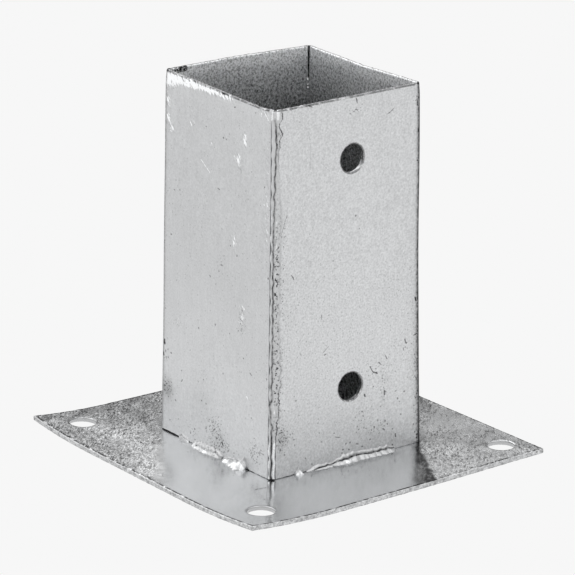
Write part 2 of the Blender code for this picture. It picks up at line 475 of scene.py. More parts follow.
class Paint(Nodes):
    """A zinc material under construction, on Object coordinates in metres."""

    def __init__(self, name):
        self.material = bpy.data.materials.new(name)
        self.material.use_nodes = True
        super().__init__(self.material.node_tree)
        self.shader = self.tree.nodes["Principled BSDF"]
        self.place = self.node("ShaderNodeTexCoord").outputs["Object"]

    def axis(self, name):
        """One coordinate of the surface, in millimetres."""
        parts = self.node("ShaderNodeSeparateXYZ", None, {"Vector": self.place})
        return Number(self, parts.outputs[name]) * 1000.0

    def turned(self, axis, angle):
        """Object coordinates measured along axes turned about one axis."""
        sockets = {"Vector": self.place, "Angle": angle}
        node = self.node("ShaderNodeVectorRotate", {"rotation_type": axis}, sockets)
        return node.outputs["Vector"]

    def noise(self, size, detail, rough=0.5, stretch=(1, 1, 1), place=None, shift=0.0):
        """Smooth noise, mostly between -1 and 1, with features of about that size in metres.

        A stretch part of 0.1 makes the features ten times as long along its axis.
        """
        scale = tuple(part / size for part in stretch)
        place = self.vector("MULTIPLY", place or self.place, scale)
        place = self.vector("ADD", place, (shift,) * 3)
        sockets = {"Vector": place, "Scale": 1.0, "Detail": detail, "Roughness": rough}
        node = self.node("ShaderNodeTexNoise", None, sockets)
        return (Number(self, node.outputs["Fac"]) - 0.5) * 4.0

    def shake(self, target, place, scale, reach):
        """A vector moved about by noise, by up to about half a reach either way."""
        sockets = {"Vector": place, "Scale": scale, "Detail": 2.0}
        away = self.node("ShaderNodeTexNoise", None, sockets).outputs["Color"]
        away = self.vector("MULTIPLY", self.vector("SUBTRACT", away, (0.5,) * 3), (reach,) * 3)
        return self.vector("ADD", target, away)

    def dots(self, spacing, radius, share, warp, shift=0.0):
        """1 inside small ragged spots and 0 outside, in a share of cells about a spacing wide."""
        place = self.vector("MULTIPLY", self.place, (1 / spacing,) * 3)
        place = self.vector("ADD", place, (shift,) * 3)
        place = self.shake(place, place, 3.0, warp)
        cell = self.node("ShaderNodeTexVoronoi", None, {"Vector": place, "Scale": 1.0})
        reach = radius / spacing
        spot = self.step(Number(self, cell.outputs["Distance"]), reach * 1.25, reach * 0.75)
        chance = self.node("ShaderNodeSeparateColor", None, {"Color": cell.outputs["Color"]})
        return spot * self.math("LESS_THAN", Number(self, chance.outputs[0]), share)

    def value(self, name):
        """A piece's own attribute, which its surface function worked out."""
        node = self.node("ShaderNodeAttribute", {"attribute_name": name})
        return Number(self, node.outputs["Fac"])

    def ragged(self, name, size, reach):
        """A vector attribute shaken by noise, so that whatever is drawn on it looks ragged."""
        place = self.vector("MULTIPLY", self.place, (1 / size,) * 3)
        node = self.node("ShaderNodeAttribute", {"attribute_name": name})
        return self.shake(node.outputs["Vector"], place, 1.0, reach * 2)

    def mark(self, place, start, end, width):
        """1 near the line from start to end and 0 outside, in the place's own unit."""
        start, end = Vector(start), Vector(end)
        reach = end - start
        away = self.vector("SUBTRACT", place, start)
        share = self.clamp(self.dot(away, reach / max(reach.length_squared, 1e-12)))
        sockets = {"Vector": reach, "Scale": share}
        along = self.node("ShaderNodeVectorMath", {"operation": "SCALE"}, sockets).outputs[0]
        off = self.vector("SUBTRACT", away, along)
        distance = Number(self, self.vector("LENGTH", off, (0, 0, 0)))
        return self.step(distance, width, 0.4 * width)

    def finish(self, shade, roughness, relief, zinc):
        """Drive the shader: shade 0 to 1 runs from tarnish to bright zinc, relief is in mm."""
        colour = self.node(
            "ShaderNodeMix",
            {"data_type": "RGBA"},
            {0: self.clamp(shade), 6: (*zinc.tarnish_colour, 1), 7: (*zinc.bright_colour, 1)},
        )
        sockets = {"Height": relief, "Distance": MM, "Strength": 1.0}
        bump = self.node("ShaderNodeBump", None, sockets)
        self.feed(self.shader.inputs["Base Color"], colour.outputs[2])
        self.feed(self.shader.inputs["Roughness"], self.clamp(roughness))
        self.feed(self.shader.inputs["Normal"], bump.outputs["Normal"])
        self.shader.inputs["Metallic"].default_value = zinc.metallic
        return self.material


# Zones on the outside of the plain wall in front (along is x) and of the drilled wall in front
# (along is y): along, up, half length along, half length up, amount.
PLAIN_SCUFFS = (
    (-32, 149, 5.0, 3.2, 1.0),
    (-22, 150.6, 8.0, 2.2, 1.0),
    (-8, 151.2, 8.5, 1.8, 0.95),
    (5, 151.0, 7.0, 1.5, 0.8),
    (31, 150.8, 6.0, 2.0, 0.45),
    (-33.5, 140.5, 2.4, 2.6, 0.8),
    (-33.5, 133.5, 1.4, 2.6, 0.95),
    (-31.0, 129.5, 1.4, 2.4, 0.75),
    (-17, 136, 2.6, 3.4, 0.45),
    (-3.5, 130, 2.0, 1.6, 0.4),
    (18.6, 137, 1.5, 3.8, 0.9),
    (14.3, 128.3, 2.6, 2.2, 0.85),
    (15.5, 124.0, 1.4, 2.0, 0.6),
    (10.4, 108, 1.2, 1.6, 0.7),
    (12, 95.6, 2.6, 6.0, 0.42),
    (33, 112, 2.5, 25, 0.35),
    (17.4, 65, 3.0, 6.5, 0.45),
    (-26, 50, 3.0, 2.4, 0.4),
    (21.8, 32.3, 1.6, 1.6, 0.5),
)
PLAIN_SPECKS = (
    (3, 83, 4.4, 4.5, 0.9),
    (-35, 82, 1.6, 4.0, 1.0),
    (-21, 71, 6.0, 2.0, 0.5),
    (17.6, 62, 3.0, 6.5, 1.2),
    (-26, 50, 3.4, 2.2, 1.0),
    (-33, 35, 3.0, 8.0, 1.1),
    (-32, 20, 4.0, 4.5, 1.6),
    (-9, 37, 2.0, 8.0, 0.7),
    (0.5, 41, 2.6, 3.0, 0.5),
    (35.3, 113, 1.4, 4.0, 1.0),
    (35.3, 30, 1.8, 3.0, 1.2),
    (0.5, 12.0, 6.5, 7.0, 1.9),
    (5.5, 6.5, 6.0, 3.5, 1.8),
    (27, 11, 6.5, 5.0, 1.75),
    (-15, 8, 5.0, 4.0, 1.1),
    (35, 60, 1.5, 30, 0.5),
)
# Grime and painted light and shade on the plain wall. The broad band high up is painted shade, the
# broad band low down is painted light (below zero), and the small zones darken patches near the
# foot where specks cluster.
PLAIN_GRIME_AND_SHADE = (
    (0, 108, 60, 55, 0.06),
    (0, 22, 60, 25, -0.08),
    (-32, 20, 4.0, 4.5, 0.30),
    (-10, 22, 6.0, 7.0, 0.07),
    (3.5, 9.0, 4.5, 4.0, 0.14),
)
DRILLED_SPECKS = (
    (3, 146, 10, 3.5, 0.8),
    (-24, 147, 5, 3.0, 0.6),
    (-22, 115, 1.6, 5.0, 0.9),
    (3, 102, 10, 10, 0.75),
    (28.5, 46, 3.0, 5.0, 1.0),
    (34, 30, 3.0, 28, 0.9),
    (18, 29, 2.0, 10, 1.0),
    (13, 37, 10, 7.0, 0.8),
    (7, 20, 9, 4.0, 0.8),
    (15, 13, 9, 3.5, 0.9),
    (-32, 19, 4.2, 4.6, 1.8),
    (-31, 100, 3.0, 30, 0.7),
    (-33, 60, 1.8, 40, 1.1),
    (34, 146, 3.0, 5.0, 0.8),
)
DRILLED_SCUFFS = ((22.5, 6.0, 2.0, 2.0, 0.3), (-10, 110, 9.0, 12.0, 0.12))
# Grime and painted light and shade on the drilled wall. The two broad bands below zero are painted
# light over most of its height, and the two bands along the foot are painted shade. The narrow zone
# at 35 darkens a strip near the right corner, and the zone at -33 darkens a patch where specks
# cluster.
DRILLED_GRIME_AND_SHADE = (
    (0, 75, 70, 90, -0.05),
    (0, 40, 70, 25, -0.05),
    (35, 40, 2.5, 35, 0.16),
    (-33, 18, 3.0, 5.0, 0.20),
    (0, -2, 60, 11, 0.17),
    (25, 8, 20, 10, 0.05),
)

# Single marks on those walls: along, up, along, up, half width, darkness (minus is bright).
PLAIN_MARKS = (
    (31.6, 121.2, 31.6, 121.2, 0.42, 1.0),
    (36.0, 126.0, 36.0, 124.6, 0.35, 0.9),
    (14.0, 89.1, 14.0, 88.6, 0.38, 0.9),
    (0.4, 112.7, 1.7, 112.7, 0.26, 0.7),
    (-34.4, 40.2, -34.4, 38.8, 0.75, 1.0),
    (-35.4, 34.6, -34.8, 33.8, 0.60, 1.0),
    (23.2, 43.0, 24.2, 42.5, 0.32, 0.8),
    (-22.1, 27.0, -22.1, 26.6, 0.36, 0.8),
    (-8.9, 22.2, -8.5, 22.0, 0.36, 0.8),
    (5.2, 8.6, 5.8, 8.0, 0.55, 0.9),
    (22.0, 3.0, 22.6, 2.6, 0.50, 1.0),
    (-11.0, 121.7, -5.0, 117.9, 0.22, -0.8),
    (-33.8, 134.5, -30.2, 129.0, 0.30, -0.8),
    (30.6, 151.2, 33.6, 148.2, 0.18, -0.7),
)
DRILLED_MARKS = (
    (3.6, 151.0, 4.0, 149.6, 0.40, 0.9),
    (-20.3, 151.9, -18.6, 151.2, 0.35, 0.9),
    (19.6, 142.4, 22.6, 144.0, 0.28, 0.8),
    (34.5, 146.0, 34.6, 143.6, 0.34, 0.9),
    (35.1, 134.0, 35.1, 132.6, 0.34, 0.9),
    (34.9, 121.0, 34.9, 120.8, 0.36, 0.9),
    (-20.4, 141.0, -19.3, 134.5, 0.16, 0.35),
    (-19.3, 134.5, -19.3, 127.0, 0.16, 0.35),
    (-13.3, 127.5, -9.8, 124.0, 0.16, 0.35),
    (3.7, 103.6, 3.7, 103.6, 0.48, 1.0),
    (5.6, 98.0, 5.6, 98.0, 0.36, 0.8),
    (-30.8, 109.8, -33.6, 102.2, 0.22, 0.7),
    (-28.2, 85.0, -27.0, 83.2, 0.34, 0.9),
    (-7.5, 87.1, -7.5, 87.1, 0.42, 0.9),
    (34.1, 64.2, 34.5, 62.8, 0.50, 1.0),
    (33.4, 48.4, 35.0, 48.9, 0.36, 0.9),
    (29.0, 47.6, 29.4, 46.0, 0.46, 1.0),
    (28.2, 44.0, 28.4, 43.2, 0.36, 0.8),
    (19.2, 42.6, 20.0, 41.2, 0.32, 0.9),
    (15.6, 40.6, 17.0, 39.4, 0.30, 0.8),
    (11.4, 39.7, 13.0, 37.0, 0.32, 0.9),
    (13.0, 37.0, 15.2, 36.0, 0.40, 0.9),
    (18.6, 28.0, 18.6, 26.4, 0.42, 1.0),
    (8.7, 28.4, 9.0, 27.6, 0.46, 1.0),
    (-11.4, 49.0, -10.8, 49.2, 0.40, 0.8),
    (-12.0, 50.2, -9.6, 52.0, 0.24, 0.6),
    (-13.1, 65.8, -12.9, 64.2, 0.26, 0.7),
    (18.0, 12.0, 18.6, 11.5, 0.44, 0.9),
    (-5.6, 13.6, -3.0, 12.9, 0.26, 0.8),
    (24.0, 8.6, 24.1, 7.4, 0.40, 0.9),
)

# Crust on the rim of the left angle, in millimetres: from and to as x, y and z, half width.
RIM_CRUST = (
    ((-35.4, -31.4, 153.2), (-35.2, -27.4, 153.4), 1.7),
    ((-35.7, -35.2, 153.6), (-35.6, -34.0, 153.2), 1.2),
    ((-20.0, -36.4, 153.0), (-19.0, -36.4, 153.0), 0.5),
    ((3.0, -36.4, 152.9), (4.0, -36.4, 152.9), 0.5),
)

# The third coordinate of the wall attribute, which keeps one wall's marks off the others: plain
# wall, drilled wall, anywhere else.
PLAIN_FACE, DRILLED_FACE, OTHER_FACE = 0, 200, 1000


def sheet_finish(zinc):
    """Even grey zinc on the socket's sheet, with pits, runs, scuffs and dark marks.

    Its attributes are scuff, speck, grit and inner as amounts, grime and painted light and shade
    as one amount (painted light below zero), inset in millimetres from the rim or a bore, level
    through the sheet from -1 inside to 1 outside, and wall, which holds along and up in
    millimetres and the number of the face. Inside the socket the sheet carries painted shade,
    with painted light near the rim.
    """
    paint = Paint("galvanised_sheet_zinc")
    cloud = paint.noise(30 * MM, 2)
    mottle = paint.noise(4 * MM, 4, 0.6)
    grain = paint.noise(0.8 * MM, 2, 0.6)
    crystal = paint.noise(1.3 * MM, 4, 0.75, shift=3.0)
    runs = paint.noise(1.4 * MM, 3, 0.6, stretch=(1, 1, 0.1))
    slanted = paint.turned("Y_AXIS", 0.64)
    streaks = paint.noise(0.9 * MM, 2, 0.6, stretch=(1, 1, 0.3), place=slanted, shift=5.0)
    scuff, speck, grime_and_shade, grit, inner, inset, level = (
        paint.value(name)
        for name in ("scuff", "speck", "grime_and_shade", "grit", "inner", "inset", "level")
    )
    bright = paint.step(scuff * 1.4 + streaks * 0.8, 0.75, 1.15)
    scraped = paint.step(streaks, -0.2, -0.5) * paint.clamp(scuff)
    pits = paint.dots(1.9 * MM, 0.40 * MM, 0.02 + grit * 0.05 + speck * 0.5, warp=0.6)
    specks = paint.dots(1.1 * MM, 0.25 * MM, 0.08 + grit * 0.16 + speck * 0.6, warp=0.6, shift=7.0)
    sponge = paint.dots(0.9 * MM, 0.28 * MM, speck * 1.3 - 0.80, warp=0.8, shift=13.0)
    rim_line = paint.step(level, -0.1, 0.3) * paint.step(inset, 0.75, 0.45)
    rim_line = rim_line * paint.step(paint.noise(2.5 * MM, 3, shift=11.0), -0.7, 0.0)
    place = paint.ragged("wall", 0.8 * MM, 0.35)
    dark = rim_line * 0.8
    for face, marks in ((PLAIN_FACE, PLAIN_MARKS), (DRILLED_FACE, DRILLED_MARKS)):
        for along, up, to_along, to_up, width, amount in marks:
            start, end = (along, up, face), (to_along, to_up, face)
            dark = dark + paint.mark(place, start, end, width) * amount
    place = paint.vector("MULTIPLY", paint.place, (1 / MM,) * 3)
    crust = paint.step(crystal, -0.2, 0.0) * 2.5
    for start, end, width in RIM_CRUST:
        dark = dark + paint.mark(place, start, end, width) * crust
    shade = zinc.sheet_shade + cloud * 0.015 + mottle * 0.02 + runs * 0.02
    shade = shade + grain * (0.04 + grit * 0.09 + inner * 0.45)
    shade = shade + bright * 0.42 - scraped * 0.26 - pits * 0.36 - specks * 0.20 - dark * 0.55
    shade = shade - sponge * 0.42
    # Painted light and shade inside the socket: the inner faces are darker all over, and lighter
    # within 30 mm of the rim.
    painted_rim_light = paint.step(paint.axis("Z"), RIM / MM - 30, RIM / MM)
    # Grime and painted shade darken the walls, and painted light lightens them below zero.
    shade = shade - grime_and_shade * (0.8 + crystal * 0.5)
    shade = shade + inner * (crystal * 0.50 + painted_rim_light * 0.34 - 0.16)
    roughness = zinc.sheet_roughness + mottle * 0.03 + grain * 0.02 + pits * 0.2
    relief = cloud * 0.04 + mottle * 0.010 + grain * 0.006 + runs * 0.004
    relief = relief - pits * 0.08 + bright * 0.02
    return paint.finish(shade, roughness, relief, zinc)


def plate_finish(zinc):
    """Shiny zinc on the base plate, drained towards its corner, with a crystal bloom.

    Its attributes are bloom as an amount, stains with painted shadow and painted light as one
    amount (painted light below zero), inset and bore in millimetres from the outline and from the
    nearest bore, and level through the sheet from -1 below to 1 on top. The edge faces, the
    bottom arris and the bores carry painted shade.
    """
    paint = Paint("galvanised_plate_zinc")
    paint.place = paint.turned("Z_AXIS", math.radians(45))
    drained = (0.4, 1, 1)
    cloud = paint.noise(18 * MM, 3)
    mottle = paint.noise(4 * MM, 4, 0.6, stretch=drained)
    crystal = paint.noise(1.3 * MM, 3, 0.75, stretch=drained, shift=3.0)
    grain = paint.noise(0.7 * MM, 2, 0.6, stretch=drained, shift=6.0)
    inset, bloom, stain_and_shading, level, bore = (
        paint.value(name) for name in ("inset", "bloom", "stain_and_shading", "level", "bore")
    )
    pits = paint.dots(2.6 * MM, 0.45 * MM, 0.03 + bloom * 0.3, warp=0.6)
    broken = paint.step(paint.noise(3.0 * MM, 3, shift=9.0), -0.6, 0.1)
    arris = paint.step(level, 0.6, 0.9) * paint.step(inset, 1.4, 0.9) * paint.step(inset, 0.1, 0.4)
    # Masks for the edge faces, the bottom arris and the bores, which carry painted shade.
    side = paint.step(inset, 0.35, 0.05)
    under = side * paint.step(level, -0.55, -0.85)
    round_hole = paint.step(bore, 1.2, 0.7) * paint.step(bore, 0.1, 0.4)
    bored = paint.step(bore, 0.35, 0.05)
    flat = 1.0 - side - bored
    shade = zinc.plate_shade + cloud * 0.02 + mottle * 0.015 + grain * 0.02
    shade = shade + flat * bloom * (crystal * zinc.bloom_contrast + mottle * 0.20 + grain * 0.62)
    # Stains and painted shadow darken the plate, and painted light lightens it below zero.
    shade = shade - flat * (pits * 0.22 + stain_and_shading * (0.45 + crystal * 0.35))
    # Painted shade down the bores, on the edge faces and along the bottom arris; a darker ring
    # round each hole and a broken dark line along the top arris.
    shade = shade - round_hole * 0.20 - bored * 0.15
    shade = shade - arris * broken * 0.65 - side * (0.12 + crystal * 0.35) - under * broken * 0.35
    roughness = zinc.plate_roughness + cloud * 0.02 + bloom * (mottle * 0.05 + 0.05)
    relief = cloud * 0.06 + mottle * 0.010 - pits * 0.04 + bloom * crystal * zinc.bloom_relief
    return paint.finish(shade, roughness, relief, zinc)


def weld_finish(zinc):
    """Bright zinc over a weld bead, with painted shade in its creases and painted highlights, and
    dotted where it is crusty.

    Its attributes are painted shade, crust and painted highlight as amounts.
    """
    paint = Paint("galvanised_weld_zinc")
    mottle = paint.noise(2 * MM, 4, 0.6)
    grain = paint.noise(0.7 * MM, 2, 0.6)
    dashes = paint.noise(1.5 * MM, 3, 0.6, stretch=(1, 1, 0.6), shift=4.0)
    painted_shade, crust, painted_gleam = paint.value("painted_shade"), paint.value("crust"), paint.value("painted_gleam")
    crumbs = paint.step(paint.noise(1.2 * MM, 3, 0.7, shift=2.0), -0.15, -0.5) * crust
    # Painted highlight: the gleam lightens the colour, and makes the zinc a little glossier.
    shine = paint.step(painted_gleam + mottle * 0.3, 0.4, 0.7)
    shade = zinc.weld_shade + mottle * 0.03 + grain * 0.05 + shine * 0.32
    # Painted shade, broken into dashes, and dark crumbs where the zinc is crusty.
    shade = shade - painted_shade * (0.75 + dashes * 0.6) - crumbs * 0.45
    roughness = zinc.weld_roughness + mottle * 0.03 + painted_shade * 0.2 - shine * 0.08
    relief = mottle * 0.02 + grain * 0.006 - crumbs * 0.06
    return paint.finish(shade, roughness, relief, zinc)


# Pieces


def plate_warp(x, y, sheet):
    """How far the plate's sheet is bent up at each point.

    It droops more and more from its middle towards the front corner, and both the front corner
    and the left corner curl up.
    """
    half = PLATE_HIGH.x
    front = (x - y) / (2 * half)
    left = (-x - y) / (2 * half)
    clear = ramp(np.maximum(abs(x), abs(y)), 0.6 * OUTSIDE, half)
    droop = sheet.plate_droop * np.maximum(front, 0) * (0.25 + 0.75 * clear)
    front_curl = sheet.front_corner_curl * np.maximum((front - 0.7) / 0.3, 0) ** 2
    left_curl = sheet.left_corner_curl * np.maximum((left - 0.75) / 0.25, 0) ** 2
    return front_curl + left_curl - droop


def angle_place(points, length, turn):
    """Bend flat sheet points (along, up, out) into an angle whose fold is at -X -Y.

    The first leg runs along -Y at the drilled wall, the fold is a quarter circle, and the second
    leg runs along +X. A half turn about Z gives the other angle.
    """
    along, up, out = points.T
    fold = OUTSIDE - length["fold_middle"]
    first = np.clip(along, 0, length["leg"])
    bend = np.clip((along - length["leg"]) / length["arc"], 0, 1) * math.pi / 2
    second = np.maximum(along - length["leg"] - length["arc"], 0)
    # Points just past either end carry straight on.
    first = np.where(along < 0, along, first)
    radius = length["radius"] + out
    x = -fold - radius * np.cos(bend) + second
    y = -fold - radius * np.sin(bend) + (length["leg"] - first)
    return np.column_stack([turn * x, turn * y, up])


def socket_angle(name, node, holes, turn, sheet, seed, zones, material):
    """One folded angle of the socket: a drilled sheet bent through a right angle.

    Zinc lines each bore, thickens the edges and leaves the walls a little bowed. Zones give the
    scuffs, specks, grime and painted light and shade on the leg that faces forward.
    """
    radius = sheet.fold_radius - WALL / 2
    length = {"radius": radius, "fold_middle": sheet.fold_radius}
    length["leg"] = LEG_END + OUTSIDE - sheet.fold_radius
    length["arc"] = radius * math.pi / 2
    total = 2 * length["leg"] + length["arc"]
    half = WALL / 2
    lip = sheet.edge_round
    lining = 0.5 * lip
    windows = [
        (LEG_END - turn * hole[1], hole[2], size - lining, WINDOW * size) for hole, size in holes
    ]
    fold = length["leg"] + length["arc"] / 2
    rows = grid_lines(
        lip,
        total - lip,
        sheet.grid_step,
        [(windows[0][0], windows[0][3]), (fold, 0.75 * length["arc"])],
    )
    columns = grid_lines(
        FOOT + lip, RIM - lip, sheet.grid_step, [(window[1], window[3]) for window in windows]
    )
    points, quads = drilled_sheet(rows, columns, half, lip, windows)
    along, _, height = points.T
    points, inset = zinc_edges(points, (0, FOOT), (total, RIM), half, sheet, seed)
    rim_gap = np.minimum((RIM - points[:, 1]) / MM, hole_gap(points, windows))
    straight = angle_place(points, length, turn)
    points[:, 2] *= 1 - sheet.rim_thinning * bell(RIM - points[:, 1], 3 * MM)
    shape = angle_place(points, length, turn)
    normal = (shape - angle_place(points - [0, 0, MM], length, turn)) / MM
    bow = sheet.wall_bow * ramp(inset, 0, 14) * waves(shape, 60 * MM, seed + 5)
    shape = as_made(shape + normal * bow[:, None], sheet)
    forward = straight[:, 0] if turn == 1 else straight[:, 1]
    outside = (height > 0) & ((along > fold) if turn == 1 else (along < fold))
    values = {key: spread(forward, points[:, 1], table) * outside for key, table in zones.items()}
    # The outside is darker along the fold, more so on the right angle.
    fold_darkening, grit = (0.9, 1.0) if turn == -1 else (0.6, 0.3)
    outline = bell(along - fold - turn * 0.35 * MM, MM) * (height > 0)
    values["grime_and_shade"] = values["grime_and_shade"] + fold_darkening * outline
    values["grit"] = outside * grit
    values["inner"] = (height < 0).astype(float)
    values["inset"] = rim_gap
    # The dark line along the rim is wider on the far drilled wall.
    values["level"] = height / half + 0.6 * ((along < fold) & (turn == 1))
    face = np.where(outside, PLAIN_FACE if turn == 1 else DRILLED_FACE, OTHER_FACE)
    values["wall"] = np.column_stack([forward / MM, points[:, 1] / MM, face])
    add_piece(name, shape, quads, NO_TRIANGLES, material, [node], values)


# Lines that darken the plate, or lighten it where the amount is below zero, in millimetres:
# x, y, x, y, half width, amount. The two along the foot beads are painted shadows.
PLATE_STAINS_AND_SHADOWS = (
    (44, -50, 62, -66, 11.0, 0.20),
    (41.5, -48, 42.2, -44, 0.5, 0.8),
    (49, 44.9, 49, 44.9, 0.6, 1.0),
    (27.2, 68.5, 31, 67.5, 0.7, -0.8),
    (-72, -55, -72, -5, 4.0, 0.30),
    (-58, -70, -22, -69, 3.5, 0.30),
    # Painted shadows on the plate beside the plain run and the drilled run.
    (-12, -41.5, 22, -42.5, 2.4, 0.20),
    (41, -20, 42.5, 22, 2.2, 0.30),
)


def line_cover(x, y, line_rows):
    """How strongly a table's lines cover each point: a sum of bells across each line."""
    total = np.zeros_like(x)
    for start_x, start_y, end_x, end_y, width, amount in line_rows:
        start = np.array([start_x, start_y]) * MM
        reach = np.array([end_x, end_y]) * MM - start
        away = np.column_stack([x, y]) - start
        share = np.clip(away @ reach / max(reach @ reach, 1e-12), 0, 1)
        off = away - share[:, None] * reach
        total += amount * bell(np.linalg.norm(off, axis=1), width * MM)
    return total


def base_plate(sheet, material):
    """The base plate: a drilled sheet, lightly bent, with lumpy zinc along its edges.

    Crystals bloom behind the socket and past a line at each of its side corners. In front the
    plate is smooth, with a painted shadow of the socket as a dark wedge just inside the right
    line, and painted light as paler zinc past it.
    """
    half = (PLATE_HIGH.z - PLATE_LOW.z) / 2
    holes = []
    for corner in ("front", "left", "right", "rear"):
        centre, radius = drilled_hole("base_plate", "anchor_hole_" + corner, 2)
        x, y = centre[:2] + np.array(sheet.hole_shift)
        holes.append((x, y, radius, WINDOW * radius))
    lip = sheet.edge_round
    lines = []
    for axis in (0, 1):
        places = sorted({round(hole[axis], 6) for hole in holes})
        windows = [(place, holes[0][3]) for place in places]
        lines.append(grid_lines(PLATE_LOW.x + lip, PLATE_HIGH.x - lip, sheet.grid_step, windows))
    points, quads = drilled_sheet(*lines, half, lip, holes)
    bore = hole_gap(points, holes)
    level = points[:, 2] / half
    low, high = (PLATE_LOW.x, PLATE_LOW.y), (PLATE_HIGH.x, PLATE_HIGH.y)
    points, inset = zinc_edges(points, low, high, half, sheet, 41)
    x, y, z = points.T
    z = z + PLATE_LOW.z + half + plate_warp(x, y, sheet)
    y = y - sheet.short_side * ramp(y, 0.9 * high[1], high[1])
    x = x - sheet.short_side * ramp(x, 0.9 * high[0], high[0]) * ramp(y, 0, high[1])
    points = np.column_stack([x, y, z])
    # Sideways points to the plate's right corner and forward to its front corner.
    sideways = (x + y) / math.sqrt(2)
    forward = (x - y) / math.sqrt(2)
    place = points[:, :2]
    smudge = MM * waves(place, 6 * MM, 47)
    bloom_from = 54 * MM
    past_right = sideways + 0.5 * smudge - bloom_from - 0.31 * np.maximum(forward - 6 * MM, 0)
    past_left = 0.13 * forward - sideways + 2 * smudge - bloom_from
    bloom = np.maximum(ramp(past_right, -MM, 1.5 * MM), ramp(past_left, -3 * MM, 3 * MM))
    bloom = np.maximum(bloom, ramp(-forward, 0, 20 * MM))
    bloom = bloom * (0.85 + 0.25 * waves(place, 20 * MM, 48))
    # Painted shadow of the socket: a dark wedge just inside the right line.
    wedge = 2.5 * MM + 0.22 * np.maximum(forward - 3 * MM, 0)
    wedge = ramp(past_right / wedge, -1.1, -0.1) * (1 - ramp(past_right, -0.5 * MM, 0.5 * MM))
    # Painted light: paler zinc past the right line and on the rear side of the right corner; the
    # plate is also a little darker towards its left corner.
    right, left = (ramp(sign * sideways, 50 * MM, 62 * MM) for sign in (1, -1))
    pale = 0.48 * ramp(past_right, 0, 2 * MM) + 0.65 * right * ramp(-forward, 0, 25 * MM)
    stain_and_shading = line_cover(x, y, PLATE_STAINS_AND_SHADOWS) + 1.35 * wedge * ramp(forward, -3 * MM, 0)
    stain_and_shading = stain_and_shading - pale + 0.20 * left
    values = {"inset": inset, "bloom": bloom, "stain_and_shading": stain_and_shading, "level": level, "bore": bore}
    add_piece(
        "zinc_base_plate",
        points,
        quads,
        NO_TRIANGLES,
        material,
        ["base_plate"],
        values,
    )


# Up a corner weld: share of the height, middle of the groove, groove depth, toe on the drilled
# wall, bead height and ridge height in millimetres, then painted shade in the groove, painted
# shadow at the toe, crust, painted highlight, and how far the weld's back is sunk into the
# corner in millimetres.
FRONT_SEAM = (
    (0.00, 0.0, 0.50, 2.0, 0.10, 0.40, 1.4, 0.0, 0.0, 0.8, 0.0),
    (0.01, 0.0, 0.50, 2.0, 0.10, 0.40, 0.7, 0.4, 0.0, 1.9, 0.0),
    (0.09, 0.0, 0.50, 2.2, 0.10, 0.40, 0.7, 0.4, 0.0, 1.9, 0.0),
    (0.11, 0.1, 0.50, 2.6, 0.12, 0.15, 0.8, 0.8, 0.6, 0.5, 0.0),
    (0.14, 0.2, 0.25, 3.0, 0.25, 0.00, 0.7, 0.8, 1.2, 0.3, 0.0),
    (0.195, -0.6, 0.12, 4.1, 0.55, 0.00, 0.5, 0.9, 0.6, 0.7, 0.0),
    (0.23, 0.0, 0.20, 3.8, 0.30, 0.00, 0.60, 0.7, 1.2, 0.4, 0.0),
    (0.26, 0.0, 0.28, 4.8, 0.10, 0.00, 0.65, 0.4, 1.6, 0.1, 0.0),
    (0.32, 0.0, 0.28, 4.8, 0.08, 0.03, 0.65, 0.2, 1.5, 0.1, 0.0),
    (0.42, 0.1, 0.28, 3.8, 0.08, 0.03, 0.65, 0.1, 1.2, 0.2, 0.0),
    (0.54, 0.0, 0.28, 4.0, 0.08, 0.03, 0.70, 0.1, 1.4, 0.4, 0.0),
    (0.66, 0.0, 0.28, 4.2, 0.08, 0.03, 0.65, 0.1, 1.1, 0.6, 0.0),
    (0.72, 0.3, 0.28, 4.4, 0.08, 0.03, 0.60, 0.2, 0.4, 0.5, 0.0),
    (0.80, 0.5, 0.28, 3.2, 0.10, 0.03, 0.60, 0.0, 0.3, 0.3, 0.0),
    (0.89, 0.9, 0.30, 2.2, 0.20, 0.00, 0.65, 0.3, 0.0, 0.1, 0.0),
    (0.905, 1.1, 0.30, 3.0, 0.28, 0.00, 0.65, 0.7, 0.7, 0.0, 0.0),
    (0.935, 0.9, 0.30, 4.1, 0.35, 0.00, 0.60, 0.9, 0.7, 0.0, 0.0),
    (0.96, 0.6, 0.25, 2.9, 0.35, 0.00, 0.55, 0.9, 0.5, 0.0, 0.0),
    (0.975, 0.3, 0.20, 4.0, 0.35, 0.10, 0.35, 0.9, 0.2, 0.4, 0.0),
    (0.985, 0.2, 0.10, 4.2, 0.35, 0.20, 0.0, 0.8, 0.0, 1.8, 0.0),
    (1.00, 0.0, 0.10, 4.4, 0.35, 0.20, 0.0, 0.6, 0.0, 1.8, 0.0),
)

REAR_SEAM = (
    (0.00, 0.0, 0.50, 2.5, 0.15, 0.25, 0.7, 0.3, 0.1, 0.5, 0.0),
    (0.10, 0.1, 0.30, 3.6, 0.25, 0.10, 0.5, 0.4, 0.3, 0.2, 0.0),
    (0.35, -0.1, 0.35, 3.0, 0.20, 0.05, 0.5, 0.3, 0.5, 0.1, 0.0),
    (0.70, 0.1, 0.30, 4.2, 0.30, 0.05, 0.5, 0.4, 0.3, 0.2, 0.0),
    (0.905, 0.0, 0.30, 3.2, 0.25, 0.05, 0.5, 0.4, 0.2, 0.4, 0.0),
    # At the top the seam is an open gap, dark with painted shade.
    (0.92, 0.0, 0.80, 2.4, 0.05, 0.05, 1.0, 0.0, 0.0, 0.0, 1.5),
    (1.00, 0.0, 0.80, 2.4, 0.05, 0.05, 1.0, 0.0, 0.0, 0.0, 1.5),
)


# Stations along a weld and points across its face, for a corner weld and for a foot bead
CORNER_STATIONS, CORNER_ACROSS = 560, 73
FOOT_STATIONS, FOOT_ACROSS = 150, 41


